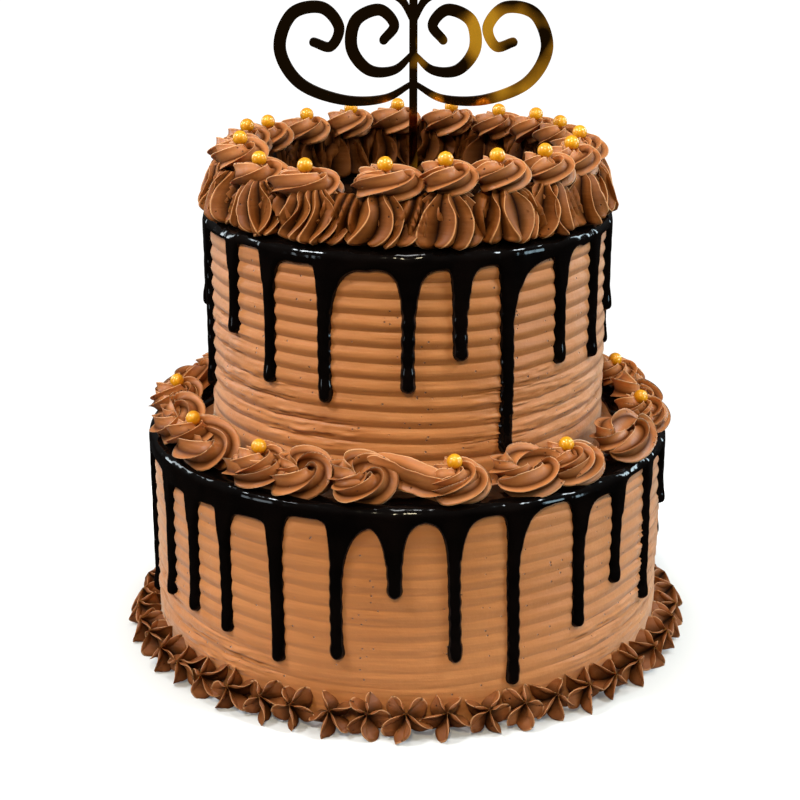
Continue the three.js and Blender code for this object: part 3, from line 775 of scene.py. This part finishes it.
def piped_rope(rng, path, radii, valley_share, lean, roll, fullness=-0.06):
    """A star-nozzle rope along a path. Its crests turn with its heading, as a still nozzle lays them."""
    rows, count = len(path), ROPE_CRESTS
    columns = lobe_columns(count, rng, uneven=0.1, steep=3, gentle=6)
    starts, lobe, climb, _ = columns
    t = np.linspace(0, 1, rows)[:, None]
    steps = np.gradient(path, axis=0)
    heading = np.unwrap(np.arctan2(steps[:, 1], steps[:, 0]))[:, None]
    crest = radii[:, None] * rng.uniform(0.93, 1.05, count)
    crest = crest * (1 + 0.03 * np.sin(11 * t + rng.uniform(0, TAU, count)))
    middle = starts[:-1] + np.diff(starts) * (0.5 + lean * rng.uniform(0.8, 1.15, count))
    drift = 0.12 * np.sin(5 * t + rng.uniform(0, TAU, count))
    turn = roll + heading
    across, over = lobed_section(
        columns, middle + drift + turn, starts + turn, crest, valley_share * radii[:, None], fullness)
    ragged = 1 + 0.02 * noise(lobe[None, :] / count, t, count, 26, rng.integers(1 << 30)) * climb ** 4
    forward = steps / np.linalg.norm(steps, axis=1, keepdims=True)
    left = np.concatenate([-np.sin(heading), np.cos(heading), 0 * heading], axis=1)
    upward = np.cross(forward, left)
    upward /= np.linalg.norm(upward, axis=1, keepdims=True)
    points = (path[:, None, :] + (across * ragged)[..., None] * upward[:, None, :]
              + (over * ragged)[..., None] * left[:, None, :])
    return points, grid_faces(rows, points.shape[1]), climb + 0 * across


def spiral(long_axis, deep_axis, start, turns, rows, ends):
    """Shares of a spiral's way, and its points seen from above. Ends: how far its axes shrink."""
    t = np.linspace(0, 1, rows)
    angle = math.radians(start) + TAU * turns * t
    shrink = 1 - (1 - ends) * smooth_step(t, 0.42, 1.0)
    return t, long_axis * shrink * np.cos(angle), deep_axis * shrink * np.sin(angle)


def capped(radii):
    """Rope radii that close both of its ends"""
    radii = radii.copy()
    radii[0] = radii[-1] = 0.05
    radii[1] *= 0.75
    radii[-2] *= 0.7
    return radii


def swirl_rope(rng, width):
    """One swirl of the upper ring in its own frame: x along the ring, y inwards and z up"""
    start = 172 + rng.uniform(-14, 14)
    t, x, y = spiral(width / 2 - 4.9, SWIRL_DEPTH / 2, start, turns=1.5, rows=54, ends=0.12)
    radii = SWIRL_GIRTH * (0.45 + 0.55 * smooth_step(t, 0, 0.1)) * (1 - 0.62 * smooth_step(t, 0.5, 1.0))
    height = 6.3 + 3.0 * smooth_step(t, 0.2, 1.0)
    path = np.stack([x, y, height], -1)
    roll = math.radians(-77.6 + rng.uniform(-14, 14))
    return piped_rope(rng, path, capped(radii), valley_share=0.55, lean=0.28, roll=roll)


def tail_rope(rng):
    """The long ribbon that a rosette of the lower border trails to its right"""
    path = spline(TAIL_WAY, TAIL_ROWS)
    t = np.linspace(0, 1, TAIL_ROWS)
    radii = TAIL_GIRTH * (0.3 + 0.7 * smooth_step(t, 0, 0.25)) * (1 - 0.5 * smooth_step(t, 0.7, 1))
    return piped_rope(rng, path, capped(radii), valley_share=0.5, lean=0.28, roll=math.radians(-75))


def rose_rope(rng, width, turns, climb, girth):
    """A rosette of the lower border, whose middle stays hollow"""
    start = 190 + rng.uniform(-25, 25)
    t, x, y = spiral(width / 2 - 5.6, ROSE_DEPTH / 2, start, turns, rows=int(38 * turns + 8), ends=0.3)
    radii = girth * (0.4 + 0.6 * smooth_step(t, 0, 0.12)) * (1 - 0.55 * smooth_step(t, 0.5, 1.0))
    height = 5.2 + climb * smooth_step(t, 0.2, 1.0)
    path = np.stack([x, y, height], -1)
    roll = math.radians(rng.uniform(-90, -50))
    return piped_rope(rng, path, capped(radii), valley_share=0.5, lean=0.3, roll=roll, fullness=-0.1)


def placed(patch, azimuth, radius, height, lean=0.0, floor=None):
    """A shape moved from its own frame to its place on a ring, and tipped outwards by its lean"""
    points, faces, rise = patch
    x, y, z = points[..., 0], points[..., 1], points[..., 2]
    a, b = math.radians(azimuth), math.radians(lean)
    inwards = y * math.cos(b) - z * math.sin(b)
    up = y * math.sin(b) + z * math.cos(b)
    world = np.stack([
        x * math.cos(a) + (radius - inwards) * math.sin(a),
        x * math.sin(a) - (radius - inwards) * math.cos(a),
        up + height,
    ], -1)
    if floor is not None:
        world[..., 2] = np.maximum(world[..., 2], floor)
    return world, faces, rise


def base_stars():
    patches = []
    for i in range(STAR_COUNT):
        rng = np.random.default_rng(STAR_SEED + i)
        size = rng.uniform(0.95, 1.08)
        stations = np.array(STAR_STATIONS) * [size, size, size, 1]
        star = piped_drop(
            rng, stations, STAR_PETALS, STAR_ROWS, twist=rng.uniform(-0.15, 0.15), wave=0.32,
            lean=0.14, lift=0.3, uneven=0.15, first=-math.pi / 2 + rng.uniform(-0.22, 0.22))
        patches.append(placed(
            star, i * 360 / STAR_COUNT + rng.uniform(-0.5, 0.5), STAR_TIP_RADIUS + rng.uniform(-0.8, 0.6),
            STAR_TIP_HEIGHT + rng.uniform(-0.7, 0.5), STAR_LEAN + rng.uniform(-6, 6), 0.0))
    return patches


def ruffles():
    patches = []
    for i, azimuth in enumerate(RUFFLE_AZIMUTHS):
        rng = np.random.default_rng(RUFFLE_SEED + i)
        twist = rng.choice([-1, 1], p=[0.6, 0.4]) * rng.uniform(0.1, 0.4)
        drop = piped_drop(
            rng, RUFFLE_STATIONS, int(rng.integers(11, 14)), RUFFLE_ROWS, twist, wave=0.34,
            lean=0.3, lift=1.8, uneven=0.6)
        drop[0][..., 0] *= RUFFLE_SPREAD
        patches.append(placed(drop, azimuth, RUFFLE_RADIUS, RUFFLE_FOOT + rng.uniform(-0.2, 0.5)))
    patches.append(pleated_core())
    return [(points, faces, rise * inner_shade(points)) for points, faces, rise in patches]


def inner_shade(points):
    """Less rise on the side of the ruffles that faces the well, which hardly any light reaches"""
    radius = np.hypot(points[..., 0], points[..., 1])
    return 0.3 + 0.7 * smooth_step(radius, 74, 88)


def pleated_core():
    """The pleated cream between and behind the ruffles, all round their ring"""
    columns = COLUMNS_IN_PLEAT * PLEATS
    azimuth = np.linspace(0, TAU, columns, endpoint=False)
    turn = azimuth / TAU
    tall = CORE_HEIGHT - (CORE_HEIGHT - CORE_FRONT_HEIGHT) * smooth_step(np.cos(azimuth), -0.3, 0.6)
    rows, rises = [], []
    for angle in np.linspace(0, TAU, CORE_ROWS):
        up = 0.5 + 0.5 * math.sin(angle)
        sway = 0.5 * np.sin(3.5 * up + 5 * noise(turn, 0 * turn, 30, 1, 62))
        pleat = (1 - np.abs(2 * ((turn * PLEATS + sway) % 1.0) - 1)) ** 2
        reach = 6.5 - 1.8 * up + 0.8 * noise(turn, up + 0 * turn, 40, 3, 61) + 5.6 * pleat
        rows.append(on_ring(azimuth, RUFFLE_RADIUS + reach * math.cos(angle), RUFFLE_FOOT + tall * up))
        rises.append(pleat * 0.96)
    return np.array(rows), grid_faces(CORE_ROWS, columns), np.array(rises)


def upper_swirls():
    count = len(SWIRL_TIPS)
    patches = []
    for i, (azimuth, height) in enumerate(SWIRL_TIPS):
        rng = np.random.default_rng(SWIRL_SEED + i)
        room = (SWIRL_TIPS[(i + 1) % count][0] - SWIRL_TIPS[i - 1][0]) % 360 / 2
        width = min(max(math.radians(room) * SWIRL_RADIUS, 25), 34)
        foot = SWIRL_FOOT + height - SWIRL_HEIGHT + rng.uniform(-0.2, 0.3)
        patches.append(placed(swirl_rope(rng, width), azimuth, SWIRL_RADIUS, foot))
    for i, (azimuth, radius, height) in enumerate(pearl_feet("pearl_upper")):
        rng = np.random.default_rng(SEAT_SEED + i)
        seat = piped_drop(
            rng, PEAK_STATIONS, ROPE_CRESTS, rows=8, twist=0.8, wave=0.22, lean=0.3, lift=0, uneven=0.3)
        patches.append(placed(seat, azimuth, radius, height))
    return patches


def lower_pieces():
    """The measured pieces, and roses and drops in turn round the back"""
    start = LOWER_PIPING[-1][2]
    room = LOWER_PIPING[0][1] + 360 - start
    drops = (BACK_PIECES - 1) // 2
    rose_span = (room - drops * BACK_DROP_SPAN) / (drops + 1)
    pieces = list(LOWER_PIPING)
    for i in range(BACK_PIECES):
        span = BACK_DROP_SPAN if i % 2 else rose_span
        pieces.append(("drop" if i % 2 else "rose", start, start + span, start + span / 2))
        start += span
    return pieces


def lower_border():
    patches = []
    for i, (kind, low, high, azimuth) in enumerate(lower_pieces()):
        rng = np.random.default_rng(BORDER_SEED + i)
        width = math.radians(high - low) * LOWER_BORDER_RADIUS
        radius, foot, lean = LOWER_BORDER_RADIUS, LOWER_BORDER_FOOT, 0.0
        if kind == "drop":
            piece = rose_rope(rng, width + 10, turns=1.15, climb=3.5, girth=DROP_GIRTH)
            foot, lean = foot + 1.5, DROP_LEAN
        elif kind == "tail":
            piece = tail_rope(rng)
        else:
            turns = 1.35 + rng.uniform(-0.1, 0.1)
            piece = rose_rope(rng, width + 4.5, turns, climb=2.5, girth=ROSE_GIRTH)
            radius, foot, lean = radius - 2, foot + 3.5, ROSE_LEAN
        patches.append(placed(piece, azimuth, radius, foot, lean))
    for i, (azimuth, radius, height) in enumerate(pearl_feet("pearl_lower")):
        seat = swirl_rope(np.random.default_rng(SEAT_SEED + i), SEAT_WIDTH)
        patches.append(placed(seat, azimuth, radius, height - SEAT_HEIGHT))
    return patches


def nodes_named(prefix):
    return sorted(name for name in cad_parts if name.startswith(prefix))


def pearl_feet(prefix):
    """Azimuth, radius and height of each pearl's lowest point in a ring"""
    places = []
    for node in nodes_named(prefix):
        low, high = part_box(node)
        x, y = (low.x + high.x) / 2 / MM, (low.y + high.y) / 2 / MM
        places.append((math.degrees(math.atan2(x, -y)), math.hypot(x, y), low.z / MM))
    return places


# Pearls and topper

def add_pearls():
    """A smooth pearl in place of each faceted one"""
    for node in nodes_named("pearl_"):
        low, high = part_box(node)
        middle = (low + high) / 2
        bpy.ops.mesh.primitive_uv_sphere_add(
            segments=28, ring_count=14, radius=PEARL_RADIUS * MM, location=middle)
        pearl = bpy.context.object
        pearl.name = "sugar_" + node
        bpy.ops.object.transform_apply(location=True)
        pearl.data.shade_smooth()
        pearl.data.materials.append(PEARL)
        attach(pearl, "root")
        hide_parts(node)


def scroll_outline(points, side):
    """The outline of one scroll: thin where it leaves the stick, thick along its way"""
    steps = 12 * len(points)
    route = spline([(TOPPER_X + side * x, TOPPER_FOOT + z) for x, z in points], steps)
    along = np.gradient(route, axis=0)
    along /= np.linalg.norm(along, axis=1, keepdims=True)
    share = np.linspace(0, 1, steps)
    thin = STROKE_THIN + (CURL_END_WIDTH - STROKE_THIN) * share
    width = thin + (STROKE_THICK - thin) * np.sin(math.pi * share)
    for angle in np.radians([25, 50, 70, 86]):
        route = np.vstack([route, route[steps - 1] + along[steps - 1] * CURL_END_WIDTH / 2 * math.sin(angle)])
        along = np.vstack([along, along[steps - 1]])
        width = np.append(width, CURL_END_WIDTH * math.cos(angle))
    across = np.stack([-along[:, 1], along[:, 0]], -1) * (width / 2)[:, None]
    return route + across, route - across


def topper_plate(name, left, right):
    """A plate as thick as the sheet between the two sides of an outline"""
    points = []
    for y in (-SHEET / 2, SHEET / 2):
        points += [(x * MM, y * MM, z * MM) for x, z in (*left, *right)]
    count = len(left)
    faces = []
    for k in range(count - 1):
        a, b, c, d = k, count + k, 2 * count + k, 3 * count + k
        faces += [(a, a + 1, b + 1, b), (c, d, d + 1, c + 1), (a, c, c + 1, a + 1), (b, b + 1, d + 1, d)]
    last = count - 1
    faces += [(0, count, 3 * count, 2 * count), (last, 2 * count + last, 3 * count + last, count + last)]
    mesh = bpy.data.meshes.new(name)
    mesh.from_pydata(points, [], faces)
    return new_object(name, mesh)


def topper_plates():
    """The scrolls on both sides and the stick, as one plate each"""
    outlines = [scroll_outline(points, side) for points in SCROLLS for side in (1, -1)]
    rise = np.linspace(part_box("topper")[0].z / MM, TOPPER_FOOT + STICK_RISE, 40)
    stick = [np.stack([TOPPER_X + side * STICK_WIDTH / 2 + 0 * rise, rise], -1) for side in (-1, 1)]
    return [topper_plate(f"topper_plate_{i}", *sides) for i, sides in enumerate(outlines + [stick])]


def join_topper(plates):
    """Joins the plates into one body and eases its edges"""
    base = plates[-1]
    group = bpy.data.collections.new("topper_plates")
    for plate in plates[:-1]:
        group.objects.link(plate)
    union = base.modifiers.new("join", "BOOLEAN")
    union.operand_type = "COLLECTION"
    union.collection = group
    union.operation = "UNION"
    union.solver = "EXACT"
    bevel = base.modifiers.new("ease", "BEVEL")
    bevel.width = 0.35 * MM
    bevel.segments = 2
    bevel.limit_method = "ANGLE"
    bevel.angle_limit = math.radians(40)
    graph = bpy.context.evaluated_depsgraph_get()
    mesh = bpy.data.meshes.new_from_object(base.evaluated_get(graph))
    for plate in plates:
        bpy.data.objects.remove(plate)
    bpy.data.collections.remove(group)
    topper = new_object("mirror_scrollwork_topper", mesh)
    mesh.validate()
    mesh.materials.clear()
    mesh.materials.append(MIRROR)
    mesh.shade_flat()
    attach(topper, "root")
    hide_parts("topper")


build_piece("combed_lower_tier", ["lower_tier"], BUTTERCREAM, [tier_patch(LOWER_TIER)])
build_piece("combed_upper_tier", ["upper_tier"], BUTTERCREAM, [tier_patch(UPPER_TIER)])
build_piece("poured_lower_ganache", ["lower_ganache"], GANACHE, [
    ganache_patch(LOWER_TIER, all_drips(LOWER_DRIPS, LOWER_BACK_DRIPS), LOWER_GANACHE_INNER_RADIUS)])
build_piece("poured_upper_ganache", ["upper_ganache"], GANACHE, [
    ganache_patch(UPPER_TIER, all_drips(UPPER_DRIPS, UPPER_BACK_DRIPS), 0)])
build_piece("piped_base_stars", ["base_star_border"], DARK_SHADED_STAR_PIPING, base_stars())
build_piece("piped_lower_border", ["lower_swirl_border"], PIPING, lower_border())
build_piece("piped_ruffles", ["upper_ruffle_border"], SHADED_RUFFLE_PIPING, ruffles())
build_piece("piped_upper_swirls", ["upper_swirl_border"], PIPING, upper_swirls())
add_pearls()
join_topper(topper_plates())


# Floor, lights and camera

def floor_material():
    """White floor: it keeps the shadow near the cake, and is white to the camera further out"""
    n = material_nodes(
        "pale_floor", Base_Color=(0.52, 0.51, 0.5, 1), Roughness=0.7, Emission_Color=(1, 1, 1, 1))
    path = n.add("ShaderNodeLightPath")
    away = n.add("ShaderNodeVectorMath", operation="LENGTH")
    n.join(n.place, "Object", away, 0)
    glow = n.add(
        "ShaderNodeMapRange", From_Min=SHADE_RADIUS, From_Max=FLOOR_RADIUS, To_Min=FLOOR_GLOW, To_Max=1.0)
    n.join(away, "Value", glow, "Value")
    seen = n.add("ShaderNodeMath", operation="MULTIPLY")
    n.join(glow, "Result", seen, 0)
    n.join(path, "Is Camera Ray", seen, 1)
    n.join(seen, "Value", n.shader, "Emission Strength")
    return n.owner


def add_floor():
    bpy.ops.mesh.primitive_circle_add(vertices=128, radius=FLOOR_RADIUS, fill_type="NGON", location=(0, 0, 0))
    floor = bpy.context.object
    floor.name = "pale_floor"
    floor.data.materials.append(floor_material())
    floor.visible_glossy = False


def add_light(name, place, size, power, colour):
    light = bpy.data.lights.new(name, "AREA")
    light.shape = "RECTANGLE"
    light.size, light.size_y = size
    light.energy = power
    light.color = colour
    lamp = new_object(name, light)
    lamp.location = place
    lamp.rotation_euler = (Vector(CAKE_MIDDLE) - Vector(place)).to_track_quat("-Z", "Y").to_euler()


def add_world():
    """White behind the cake, and a dim room round it for light and reflections"""
    world = bpy.data.worlds.new("studio")
    bpy.context.scene.world = world
    n = Nodes(world)
    backdrop = n.add("ShaderNodeBackground", Color=(1, 1, 1, 1), Strength=BACKDROP)
    axes = n.add("ShaderNodeSeparateXYZ")
    height = n.add("ShaderNodeMapRange", From_Min=-0.1, From_Max=0.6, To_Min=ROOM_LOW, To_Max=ROOM_HIGH)
    room = n.add("ShaderNodeBackground")
    path = n.add("ShaderNodeLightPath")
    chosen = n.add("ShaderNodeMixShader")
    n.join(n.place, "Generated", axes, "Vector")
    n.join(axes, "Z", height, "Value")
    n.join(height, "Result", room, "Strength")
    n.join(path, "Is Camera Ray", chosen, "Fac")
    n.join(room, "Background", chosen, 1)
    n.join(backdrop, "Background", chosen, 2)
    n.join(chosen, "Shader", n.add("ShaderNodeOutputWorld"), "Surface")


def add_camera():
    camera = bpy.data.cameras.new("camera")
    camera.lens = CAMERA_LENS
    camera.sensor_width = 36
    camera.clip_end = 50
    holder = new_object("camera", camera)
    holder.location = [c * MM for c in CAMERA_PLACE]
    holder.rotation_euler = (math.radians(90 - CAMERA_DOWN), 0, 0)
    bpy.context.scene.camera = holder


add_floor()
add_world()
add_camera()
for name, light in LIGHTS.items():
    add_light(name, *light)

view = bpy.context.scene.view_settings
view.view_transform = "Standard"
view.look = "None"
